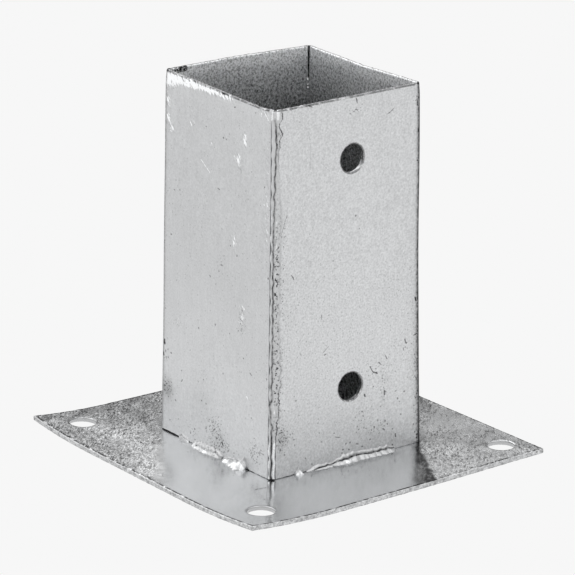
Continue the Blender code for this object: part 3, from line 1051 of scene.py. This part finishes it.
def corner_place(across, lift, turn):
    """The point above a wall's outer face at a signed distance across from the corner.

    Minus runs along the plain wall and plus along the drilled wall, round a small arc.
    """
    arc = 0.8 * MM
    psi = np.clip((across / arc + 1) / 2, 0, 1) * math.pi / 2
    past = np.sign(across) * np.maximum(abs(across) - arc, 0)
    x = OUTSIDE - arc + (arc + lift) * np.sin(psi) + np.minimum(past, 0)
    y = -OUTSIDE + arc - (arc + lift) * np.cos(psi) + np.maximum(past, 0)
    return turn * x, turn * y


def stations(table, share):
    """The columns of a table of stations at each share of the length, one array per column."""
    table = np.array(table)
    return [np.interp(share, table[:, 0], column)[:, None] for column in table.T[1:]]


def corner_weld(name, node, seam, turn, sheet, weld, seed, material):
    """A weld that closes a corner: a profile across the corner, carried up the height.

    The profile is a low bead between two toes, with a ridge on each side of a groove. Behind it
    the skin closes at a line in the corner of the socket's inside.
    """
    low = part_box(node)[0]
    heights = np.linspace(low.z + weld.foot_gap, RIM - 0.3 * MM, CORNER_STATIONS)
    share = (heights - FOOT) / (RIM - FOOT)
    groove_at, depth, toe, bead, ridge, dark, margin, crusty, shiny, hollow = stations(seam, share)
    line = heights[:, None]
    slow = waves(line, 5 * MM, seed)[:, None]
    quick = waves(line, 1.5 * MM, seed + 1)[:, None]
    toe = toe * MM * (1 + 0.10 * slow + 0.07 * quick)
    left = 1.5 * MM * (1 + 0.3 * waves(line, 7 * MM, seed + 2)[:, None])
    groove_at = (groove_at + 0.2 * waves(line, 6 * MM, seed + 3)[:, None]) * MM
    side = np.linspace(-1, 1, CORNER_ACROSS)
    across = np.where(side < 0, side * left, side * toe)
    ends = 1 - ramp(abs(side), 0.75, 1.0)
    gap = across - groove_at
    plain_ridge, drilled_ridge = gap + 1.5 * MM, gap - 1.3 * MM
    rise = (ends * bead + 0.05) * MM
    rise = rise + ridge * MM * (bell(plain_ridge, 0.6 * MM) + bell(drilled_ridge, 0.6 * MM)) * ends
    rise = rise - depth * MM * bell(gap, 0.35 * MM)
    place = np.stack([across, np.broadcast_to(line, across.shape)], axis=-1)
    bumps = waves(place, 1.8 * MM, seed + 4) * 0.6 + waves(place, 0.8 * MM, seed + 5) * 0.4
    rise = rise + weld.lump_height * (0.12 + 0.3 * crusty) * bumps * ends
    x, y = corner_place(across, rise, turn)
    skin = np.stack([x, y, np.broadcast_to(line, x.shape)], axis=-1)
    backs = []
    for distance in (toe, -left):
        x, y = corner_place(distance, np.full_like(distance, -0.4 * MM), turn)
        backs.append(np.stack([x, y, line], axis=-1))
    inner = turn * (INSIDE - 0.15 * MM + hollow * MM)
    core = np.stack([inner, -inner, line], axis=-1)
    rings = np.concatenate([skin, backs[0], core, backs[1]], axis=1)
    points, quads, fans = tube(rings)
    points = as_made(points, sheet)
    # Painted shade lies in the groove, and a painted shadow in a thin line just inside the toe on
    # the drilled wall.
    painted_shade = dark * bell(gap, 0.45 * MM)
    painted_shade = painted_shade + margin * bell(across - toe * 0.84, 0.28 * MM)
    crust = crusty * ramp(across, 0.3 * MM, 1.0 * MM) * (1 - ramp(across - 0.6 * toe, 0, 0.4 * toe))
    # Painted highlights along both ridges.
    painted_gleam = shiny * (bell(plain_ridge, 0.7 * MM) + 0.8 * bell(drilled_ridge, 0.7 * MM))
    none = np.zeros_like(line)
    # Where the back is sunk, the core is dark with painted shade; where it is shut, it has painted
    # highlights.
    shut = 1 - ramp(hollow, 0, 1)
    cores = {"painted_shade": 1 - shut, "crust": none, "painted_gleam": shut * ramp(quick, -0.3, 0.3)}
    values = {
        key: np.append(np.concatenate([value, none, cores[key], none], axis=1), [0, 0])
        for key, value in (("painted_shade", painted_shade), ("crust", crust), ("painted_gleam", painted_gleam))
    }
    add_piece(name, points, quads, fans, material, [node], values)


# Foot beads: the CAD node, quarter turns from the -Y wall, how full the section is, crust and
# stations. A station is share of the length, reach up the wall and out on the plate in
# millimetres, place of the groove from wall to plate, groove depth, and painted highlight.
FOOT_BEADS = (
    (
        "foot_weld_plain_side_tack",
        0,
        1.25,
        0.2,
        (
            (0.25, 1.6, 0.5, 0.4, 0.15, 0.7),
            (0.5, 2.4, 0.7, 0.4, 0.15, 0.2),
            (0.8, 2.2, 0.6, 0.6, 0.15, 0.3),
            (1.15, 1.5, 0.6, 0.6, 0.10, 0.8),
        ),
    ),
    (
        "foot_weld_plain_side_run",
        0,
        1.15,
        0.5,
        (
            (0.12, 1.8, 1.4, 0.5, 0.10, 0.9),
            (0.18, 2.2, 2.0, 0.6, 0.12, 1.0),
            (0.25, 2.4, 2.7, 0.6, 0.15, 0.7),
            (0.42, 3.1, 3.2, 0.45, 0.14, 0.5),
            (0.64, 2.9, 3.0, 0.55, 0.12, 0.7),
            (0.80, 2.8, 2.4, 0.4, 0.14, 0.2),
            (1.03, 2.2, 2.2, 0.5, 0.14, 0.4),
        ),
    ),
    (
        "foot_weld_plain_side_end",
        0,
        1.30,
        0.15,
        (
            (0.00, 1.8, 2.0, 0.5, 0.10, 0.3),
            (0.20, 2.2, 2.8, 0.3, 0.10, 0.9),
            (0.45, 2.4, 3.6, 0.2, 0.12, 0.5),
            (0.70, 3.6, 4.0, 0.2, 0.10, 1.0),
            (0.90, 4.6, 4.3, 0.8, 0.05, 1.2),
            (1.04, 3.6, 2.8, 0.8, 0.00, 1.0),
        ),
    ),
    (
        "foot_weld_drilled_side_tack",
        1,
        1.2,
        0.0,
        (
            (0.0, 1.0, 1.6, 0.8, 0.10, 0.8),
            (0.4, 3.4, 2.6, 0.8, 0.10, 1.3),
            (1.0, 0.8, 2.0, 0.8, 0.10, 0.9),
        ),
    ),
    (
        "foot_weld_drilled_side_run",
        1,
        1.10,
        0.05,
        (
            (-0.05, 0.7, 0.6, 0.80, 0.20, 0.0),
            (0.06, 2.2, 1.6, 0.60, 0.30, 0.1),
            (0.18, 1.9, 2.0, 0.40, 0.35, 0.4),
            (0.26, 1.6, 1.8, 0.36, 0.35, 0.2),
            (0.36, 3.4, 2.8, 0.42, 0.30, 0.6),
            (0.46, 3.8, 2.9, 0.38, 0.30, 0.45),
            (0.56, 3.4, 2.5, 0.36, 0.35, 0.0),
            (0.77, 2.8, 3.2, 0.38, 0.35, 0.0),
            (0.88, 3.0, 3.6, 0.34, 0.35, 0.2),
            (0.965, 2.8, 3.8, 0.34, 0.35, 0.3),
        ),
    ),
    (
        "foot_weld_far_plain_side",
        2,
        1.20,
        0.2,
        (
            (0.0, 1.4, 2.0, 0.6, 0.25, 0.2),
            (0.3, 3.1, 3.0, 0.4, 0.30, 0.6),
            (0.7, 2.7, 3.6, 0.3, 0.30, 0.1),
            (1.0, 2.4, 2.8, 0.5, 0.20, 0.7),
        ),
    ),
    (
        "foot_weld_far_drilled_side",
        3,
        1.20,
        0.2,
        (
            (0.0, 2.0, 2.4, 0.3, 0.30, 0.1),
            (0.4, 2.8, 3.4, 0.5, 0.30, 0.6),
            (0.8, 3.3, 2.9, 0.4, 0.25, 0.1),
            (1.0, 1.8, 2.4, 0.6, 0.20, 0.7),
        ),
    ),
)


def foot_bead(node, quarter, fullness, crusty, table, sheet, weld, seed, material):
    """A fillet bead along a wall's foot: a superellipse quarter carried along the wall.

    Its reach up the wall and out on the plate change along its length, a groove splits its face
    into two ridges, and both ends are blunt.
    """
    back = Matrix.Rotation(-quarter * math.pi / 2, 3, "Z")
    corners = [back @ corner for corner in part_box(node)]
    low, high = sorted(corner.x for corner in corners)
    way = (1 - np.cos(np.linspace(0, math.pi, FOOT_STATIONS))) / 2
    share = table[0][0] + (table[-1][0] - table[0][0]) * way
    up_reach, out_reach, groove_at, depth, shiny = stations(table, share)
    line = (low + (high - low) * share)[:, None]
    size = (1 - np.abs(2 * way - 1)[:, None] ** 9) ** 0.5 * 0.7 + 0.3
    lengths = (3 * MM, 3 * MM, 1.3 * MM, 9 * MM)
    shake = [waves(line, length, seed + count)[:, None] for count, length in enumerate(lengths)]
    up_reach = up_reach * MM * size * (1 + 0.09 * shake[0] + 0.03 * shake[2])
    out_reach = out_reach * MM * size * (1 + 0.12 * shake[1] + 0.03 * shake[2])
    turn = np.linspace(0, math.pi / 2, FOOT_ACROSS)
    out = out_reach * np.sin(turn) ** (2 / fullness)
    up = up_reach * np.cos(turn) ** (2 / fullness)
    split = math.pi / 2 * (groove_at + 0.03 * shake[3])
    scale = 1 - depth * bell(turn - split, 0.12)
    place = np.stack([np.broadcast_to(line, out.shape), out, up], axis=-1)
    bumps = waves(place, 2.4 * MM, seed + 5) * 0.6 + waves(place, 1.0 * MM, seed + 6) * 0.4
    middle = np.sqrt(np.abs(np.sin(2 * turn)))
    scale = scale + weld.lump_height * (0.25 + 0.8 * crusty) / (3 * MM) * bumps * middle
    out, up = out * scale, up * scale
    edge = np.full_like(line, -0.5 * MM)
    out = np.hstack([edge, out, 0.95 * out[:, -1:], edge])
    up = np.hstack([0.95 * up[:, :1], up, edge, edge])
    line = np.broadcast_to(line, out.shape)
    points, quads, fans = tube(np.stack([line, -OUTSIDE - out, PLATE_TOP + up], axis=-1))
    points = points @ np.array(Matrix.Rotation(quarter * math.pi / 2, 3, "Z")).T
    points = as_made(points, sheet)
    # Painted shade in the groove's crease and along both toes, over an even painted shade on the
    # whole face, and painted highlights on the face nearer the plate.
    crease = 0.7 * ramp(depth, 0.05, 0.25) * bell(turn - split, 0.10)
    toes = 0.9 * bell(turn - math.pi / 2, 0.08) + 0.15 * bell(turn, 0.05)
    painted_shade, crust, painted_gleam = np.zeros((3, *out.shape))
    painted_shade[:, 1:-2] = 0.1 + crease + toes
    crust[:, 1:-2] = crusty * middle
    painted_gleam[:, 1:-2] = shiny * bell(turn - 1.05, 0.4)
    values = {"painted_shade": painted_shade, "crust": crust, "painted_gleam": painted_gleam}
    values = {key: np.append(value, [0, 0]) for key, value in values.items()}
    name = node.replace("foot_weld", "bead")
    add_piece(name, points, quads, fans, material, [node], values)


# Studio


def set_world(studio):
    """Soft light from all round: a plain backdrop, a dim far side and bright sides and top."""
    world = bpy.data.worlds.new("studio_world")
    bpy.context.scene.world = world
    world.use_nodes = True
    nodes = Nodes(world.node_tree)
    world.node_tree.nodes.clear()
    way = nodes.node("ShaderNodeTexCoord").outputs["Generated"]
    high = nodes.dot(way, (0, 0, 1))
    overhead = nodes.step(high, 0.25, 0.85) * (studio.top_light - studio.horizon_light)
    level = studio.horizon_light + overhead
    for direction, strength, spread_from, spread_to in (
        ((-0.757, -0.58, 0.30), studio.left_light, 0.35, 0.95),
        ((0.757, 0.58, 0.30), studio.right_light, 0.35, 0.95),
        ((0.757, -0.58, 0.30), studio.front_light, 0.35, 0.95),
        ((-0.86, 0.46, 0.66), studio.rear_light, 0.97, 0.995),
    ):
        near = nodes.dot(way, Vector(direction).normalized())
        level = level + nodes.step(near, spread_from, spread_to) * strength
    seen = Number(nodes, nodes.node("ShaderNodeLightPath").outputs["Is Camera Ray"])
    level = level + seen * (studio.backdrop - level)
    sockets = {"Color": (1, 1, 1, 1), "Strength": level}
    background = nodes.node("ShaderNodeBackground", None, sockets)
    output = nodes.node("ShaderNodeOutputWorld")
    world.node_tree.links.new(background.outputs[0], output.inputs["Surface"])


def add_floor(studio):
    """A plain pale floor that glows evenly, as a light table does."""
    reach = 6.0
    mesh = bpy.data.meshes.new("floor")
    level = PLATE_LOW.z - studio.floor_drop
    square = ((-1, -1), (1, -1), (1, 1), (-1, 1))
    corners = [(reach * x, reach * y, level) for x, y in square]
    mesh.from_pydata(corners, [], [(0, 1, 2, 3)])
    material = bpy.data.materials.new("light_table")
    material.use_nodes = True
    nodes = Nodes(material.node_tree)
    material.node_tree.nodes.clear()
    glow = nodes.node("ShaderNodeEmission", None, {"Strength": studio.backdrop})
    output = nodes.node("ShaderNodeOutputMaterial")
    material.node_tree.links.new(glow.outputs[0], output.inputs["Surface"])
    mesh.materials.append(material)
    floor = bpy.data.objects.new("floor", mesh)
    bpy.context.scene.collection.objects.link(floor)


def add_camera(studio):
    """The camera, set by its angles round the middle of the object and a small re-aim."""
    middle = (CAD_BOX[0] + CAD_BOX[1]) / 2
    azimuth, elevation, roll = studio.azimuth, studio.elevation, studio.roll
    back = Vector(
        (
            math.sin(azimuth) * math.cos(elevation),
            -math.cos(azimuth) * math.cos(elevation),
            math.sin(elevation),
        )
    )
    right = Vector((math.cos(azimuth), math.sin(azimuth), 0))
    up = back.cross(right)
    right, up = (
        math.cos(roll) * right + math.sin(roll) * up,
        math.cos(roll) * up - math.sin(roll) * right,
    )
    place = middle + back * studio.distance
    aim = middle + right * studio.aim[0] + up * studio.aim[1]
    back = (place - aim).normalized()
    right = (right - back * right.dot(back)).normalized()
    up = back.cross(right)
    data = bpy.data.cameras.new("camera")
    data.lens = studio.lens
    data.sensor_width = 36
    data.clip_start = 0.1
    data.clip_end = 50
    camera = bpy.data.objects.new("camera", data)
    bpy.context.scene.collection.objects.link(camera)
    turn = Matrix((right, up, back)).transposed()
    camera.matrix_world = Matrix.Translation(place) @ turn.to_4x4()
    bpy.context.scene.camera = camera


# Add-on classes


class SheetSizes(bpy.types.PropertyGroup):
    """Sizes of the plate's and the angles' surfaces."""

    grid_step: FloatProperty(
        name="Grid step", description="Width of a surface cell", default=0.8 * MM, unit="LENGTH"
    )
    edge_round: FloatProperty(
        name="Edge rounding",
        description="Radius of a sheet's arris",
        default=0.45 * MM,
        unit="LENGTH",
    )
    edge_swell: FloatProperty(
        name="Edge swell", description="Extra zinc near an edge", default=0.06 * MM, unit="LENGTH"
    )
    edge_reach: FloatProperty(
        name="Edge reach",
        description="How far in the extra zinc goes",
        default=1.2 * MM,
        unit="LENGTH",
    )
    edge_wander: FloatProperty(
        name="Edge wander", description="How far an edge strays", default=0.12 * MM, unit="LENGTH"
    )
    fold_radius: FloatProperty(
        name="Fold radius", description="Outer radius of the fold", default=3.0 * MM, unit="LENGTH"
    )
    wall_bow: FloatProperty(
        name="Wall bow",
        description="How far the walls are from flat",
        default=0.15 * MM,
        unit="LENGTH",
    )
    foot_flare: FloatProperty(
        name="Foot flare",
        description="How far the foot of the +Y side stands out",
        default=1.3 * MM,
        unit="LENGTH",
    )
    socket_taper: FloatProperty(
        name="Socket taper", description="Share by which the rim is narrower", default=0.03
    )
    front_corner_curl: FloatProperty(
        name="Front corner curl",
        description="Lift of the front corner",
        default=2.6 * MM,
        unit="LENGTH",
    )
    left_corner_curl: FloatProperty(
        name="Left corner curl",
        description="Lift of the left corner",
        default=2.2 * MM,
        unit="LENGTH",
    )
    plate_droop: FloatProperty(
        name="Plate droop", description="Droop at the front corner", default=2.6 * MM, unit="LENGTH"
    )
    short_side: FloatProperty(
        name="Short side",
        description="How short the plate is at the right",
        default=1.3 * MM,
        unit="LENGTH",
    )
    rim_thinning: FloatProperty(
        name="Rim thinning", description="Share by which a wall is thinner at its rim", default=0.30
    )
    hole_shift: FloatVectorProperty(
        name="Hole shift",
        description="How far the plate's holes are off centre",
        size=2,
        default=(-0.6 * MM, 1.3 * MM),
        unit="LENGTH",
    )


class WeldSizes(bpy.types.PropertyGroup):
    """Sizes of the weld beads' surfaces."""

    lump_height: FloatProperty(
        name="Lump height",
        description="Height of the beads' lumps",
        default=0.22 * MM,
        unit="LENGTH",
    )
    foot_gap: FloatProperty(
        name="Foot gap", description="Gap under the corner welds", default=0.5 * MM, unit="LENGTH"
    )


class ZincLooks(bpy.types.PropertyGroup):
    """Colour and gloss of the zinc."""

    tarnish_colour: FloatVectorProperty(
        name="Tarnish", description="Darkest zinc", subtype="COLOR", default=(0.03, 0.03, 0.032)
    )
    bright_colour: FloatVectorProperty(
        name="Bright zinc", description="Lightest zinc", subtype="COLOR", default=(0.96, 0.97, 0.98)
    )
    metallic: FloatProperty(name="Metallic", description="Metal share of the finish", default=1.0)
    sheet_shade: FloatProperty(
        name="Sheet shade", description="Shade of the angles, dark to bright", default=0.64
    )
    plate_shade: FloatProperty(
        name="Plate shade", description="Shade of the plate, dark to bright", default=0.65
    )
    weld_shade: FloatProperty(
        name="Weld shade", description="Shade of the beads, dark to bright", default=0.60
    )
    bloom_relief: FloatProperty(
        name="Bloom relief", description="Depth of the plate's crystals, in mm", default=0.03
    )
    bloom_contrast: FloatProperty(
        name="Bloom contrast",
        description="How much the plate's crystals differ in shade",
        default=0.58,
    )
    sheet_roughness: FloatProperty(
        name="Sheet roughness", description="Roughness of the angles", default=0.45
    )
    plate_roughness: FloatProperty(
        name="Plate roughness", description="Roughness of the plate", default=0.17
    )
    weld_roughness: FloatProperty(
        name="Weld roughness", description="Roughness of the beads", default=0.35
    )


class StudioSetup(bpy.types.PropertyGroup):
    """Floor, light and camera."""

    backdrop: FloatProperty(name="Backdrop", description="Glow of floor and backdrop", default=0.93)
    horizon_light: FloatProperty(
        name="Horizon light", description="Light from low down all round", default=0.25
    )
    top_light: FloatProperty(name="Top light", description="Light from overhead", default=0.85)
    left_light: FloatProperty(name="Left light", description="Light on the plain wall", default=1.0)
    right_light: FloatProperty(
        name="Right light", description="Light beside the drilled wall", default=0.6
    )
    front_light: FloatProperty(
        name="Front light", description="Light behind the viewer", default=0.6
    )
    rear_light: FloatProperty(
        name="Rear light", description="Small light behind the object", default=1.2
    )
    floor_drop: FloatProperty(
        name="Floor drop",
        description="How far the floor is below the plate",
        default=2.2 * MM,
        unit="LENGTH",
    )
    azimuth: FloatProperty(
        name="Azimuth",
        description="Camera's turn about Z",
        default=math.radians(52.53),
        subtype="ANGLE",
    )
    elevation: FloatProperty(
        name="Elevation",
        description="Camera's height angle",
        default=math.radians(17.52),
        subtype="ANGLE",
    )
    roll: FloatProperty(
        name="Roll", description="Camera's lean", default=math.radians(0.57), subtype="ANGLE"
    )
    distance: FloatProperty(
        name="Distance", description="Camera's distance", default=1.8, unit="LENGTH"
    )
    lens: FloatProperty(name="Lens", description="Focal length in millimetres", default=279.3)
    aim: FloatVectorProperty(
        name="Aim",
        description="Aim to the right and up",
        size=2,
        default=(-1.3 * MM, -10.5 * MM),
        unit="LENGTH",
    )


class POST_OT_base_plate(bpy.types.Operator):
    """Build the base plate's surface"""

    bl_idname = "post_support.base_plate"
    bl_label = "Base Plate"

    def execute(self, context):
        base_plate(context.scene.post_sheet, plate_finish(context.scene.post_zinc))
        return {"FINISHED"}


class POST_OT_socket_angles(bpy.types.Operator):
    """Build both folded angles of the socket"""

    bl_idname = "post_support.socket_angles"
    bl_label = "Socket Angles"

    def execute(self, context):
        material = sheet_finish(context.scene.post_zinc)
        plain = {"scuff": PLAIN_SCUFFS, "speck": PLAIN_SPECKS, "grime_and_shade": PLAIN_GRIME_AND_SHADE}
        drilled = {"scuff": DRILLED_SCUFFS, "speck": DRILLED_SPECKS, "grime_and_shade": DRILLED_GRIME_AND_SHADE}
        for side, prefix, turn, seed, zones in (
            ("left", "far_screw_hole_", 1, 11, plain),
            ("right", "screw_hole_", -1, 23, drilled),
        ):
            node = "socket_angle_" + side
            holes = [drilled_hole(node, prefix + level, 0) for level in ("lower", "upper")]
            sheet = context.scene.post_sheet
            socket_angle("zinc_angle_" + side, node, holes, turn, sheet, seed, zones, material)
        return {"FINISHED"}


class POST_OT_corner_welds(bpy.types.Operator):
    """Build the two welds that close the socket's corners"""

    bl_idname = "post_support.corner_welds"
    bl_label = "Corner Welds"

    def execute(self, context):
        material = weld_finish(context.scene.post_zinc)
        for side, seam, turn, seed in (("front", FRONT_SEAM, 1, 31), ("rear", REAR_SEAM, -1, 37)):
            corner_weld(
                "bead_corner_" + side,
                "corner_weld_" + side,
                seam,
                turn,
                context.scene.post_sheet,
                context.scene.post_weld,
                seed,
                material,
            )
        return {"FINISHED"}


class POST_OT_foot_welds(bpy.types.Operator):
    """Build the beads along the foot of each wall"""

    bl_idname = "post_support.foot_welds"
    bl_label = "Foot Welds"

    def execute(self, context):
        material = weld_finish(context.scene.post_zinc)
        for number, bead in enumerate(FOOT_BEADS):
            foot_bead(
                *bead, context.scene.post_sheet, context.scene.post_weld, 60 + 10 * number, material
            )
        return {"FINISHED"}


class POST_OT_studio(bpy.types.Operator):
    """Set up the floor, the light and the camera"""

    bl_idname = "post_support.studio"
    bl_label = "Studio"

    def execute(self, context):
        studio = context.scene.post_studio
        context.scene.view_settings.view_transform = "Standard"
        set_world(studio)
        add_floor(studio)
        add_camera(studio)
        return {"FINISHED"}


class POST_PT_panel(bpy.types.Panel):
    """Lists the build steps"""

    bl_idname = "POST_PT_panel"
    bl_label = "Post Support"
    bl_space_type = "VIEW_3D"
    bl_region_type = "UI"
    bl_category = "Post Support"

    def draw(self, context):
        for operator in OPERATORS:
            self.layout.operator(operator.bl_idname)


OPERATORS = (
    POST_OT_base_plate,
    POST_OT_socket_angles,
    POST_OT_corner_welds,
    POST_OT_foot_welds,
    POST_OT_studio,
)
GROUPS = {
    "post_sheet": SheetSizes,
    "post_weld": WeldSizes,
    "post_zinc": ZincLooks,
    "post_studio": StudioSetup,
}


def register():
    for name, group in GROUPS.items():
        bpy.utils.register_class(group)
        setattr(bpy.types.Scene, name, PointerProperty(type=group))
    for part in (*OPERATORS, POST_PT_panel):
        bpy.utils.register_class(part)


def unregister():
    for part in (POST_PT_panel, *reversed(OPERATORS)):
        bpy.utils.unregister_class(part)
    for name, group in GROUPS.items():
        delattr(bpy.types.Scene, name)
        bpy.utils.unregister_class(group)


def main():
    """Build every piece and the studio."""
    register()
    bpy.ops.post_support.base_plate()
    bpy.ops.post_support.socket_angles()
    bpy.ops.post_support.corner_welds()
    bpy.ops.post_support.foot_welds()
    bpy.ops.post_support.studio()


if __name__ == "__main__":
    main()
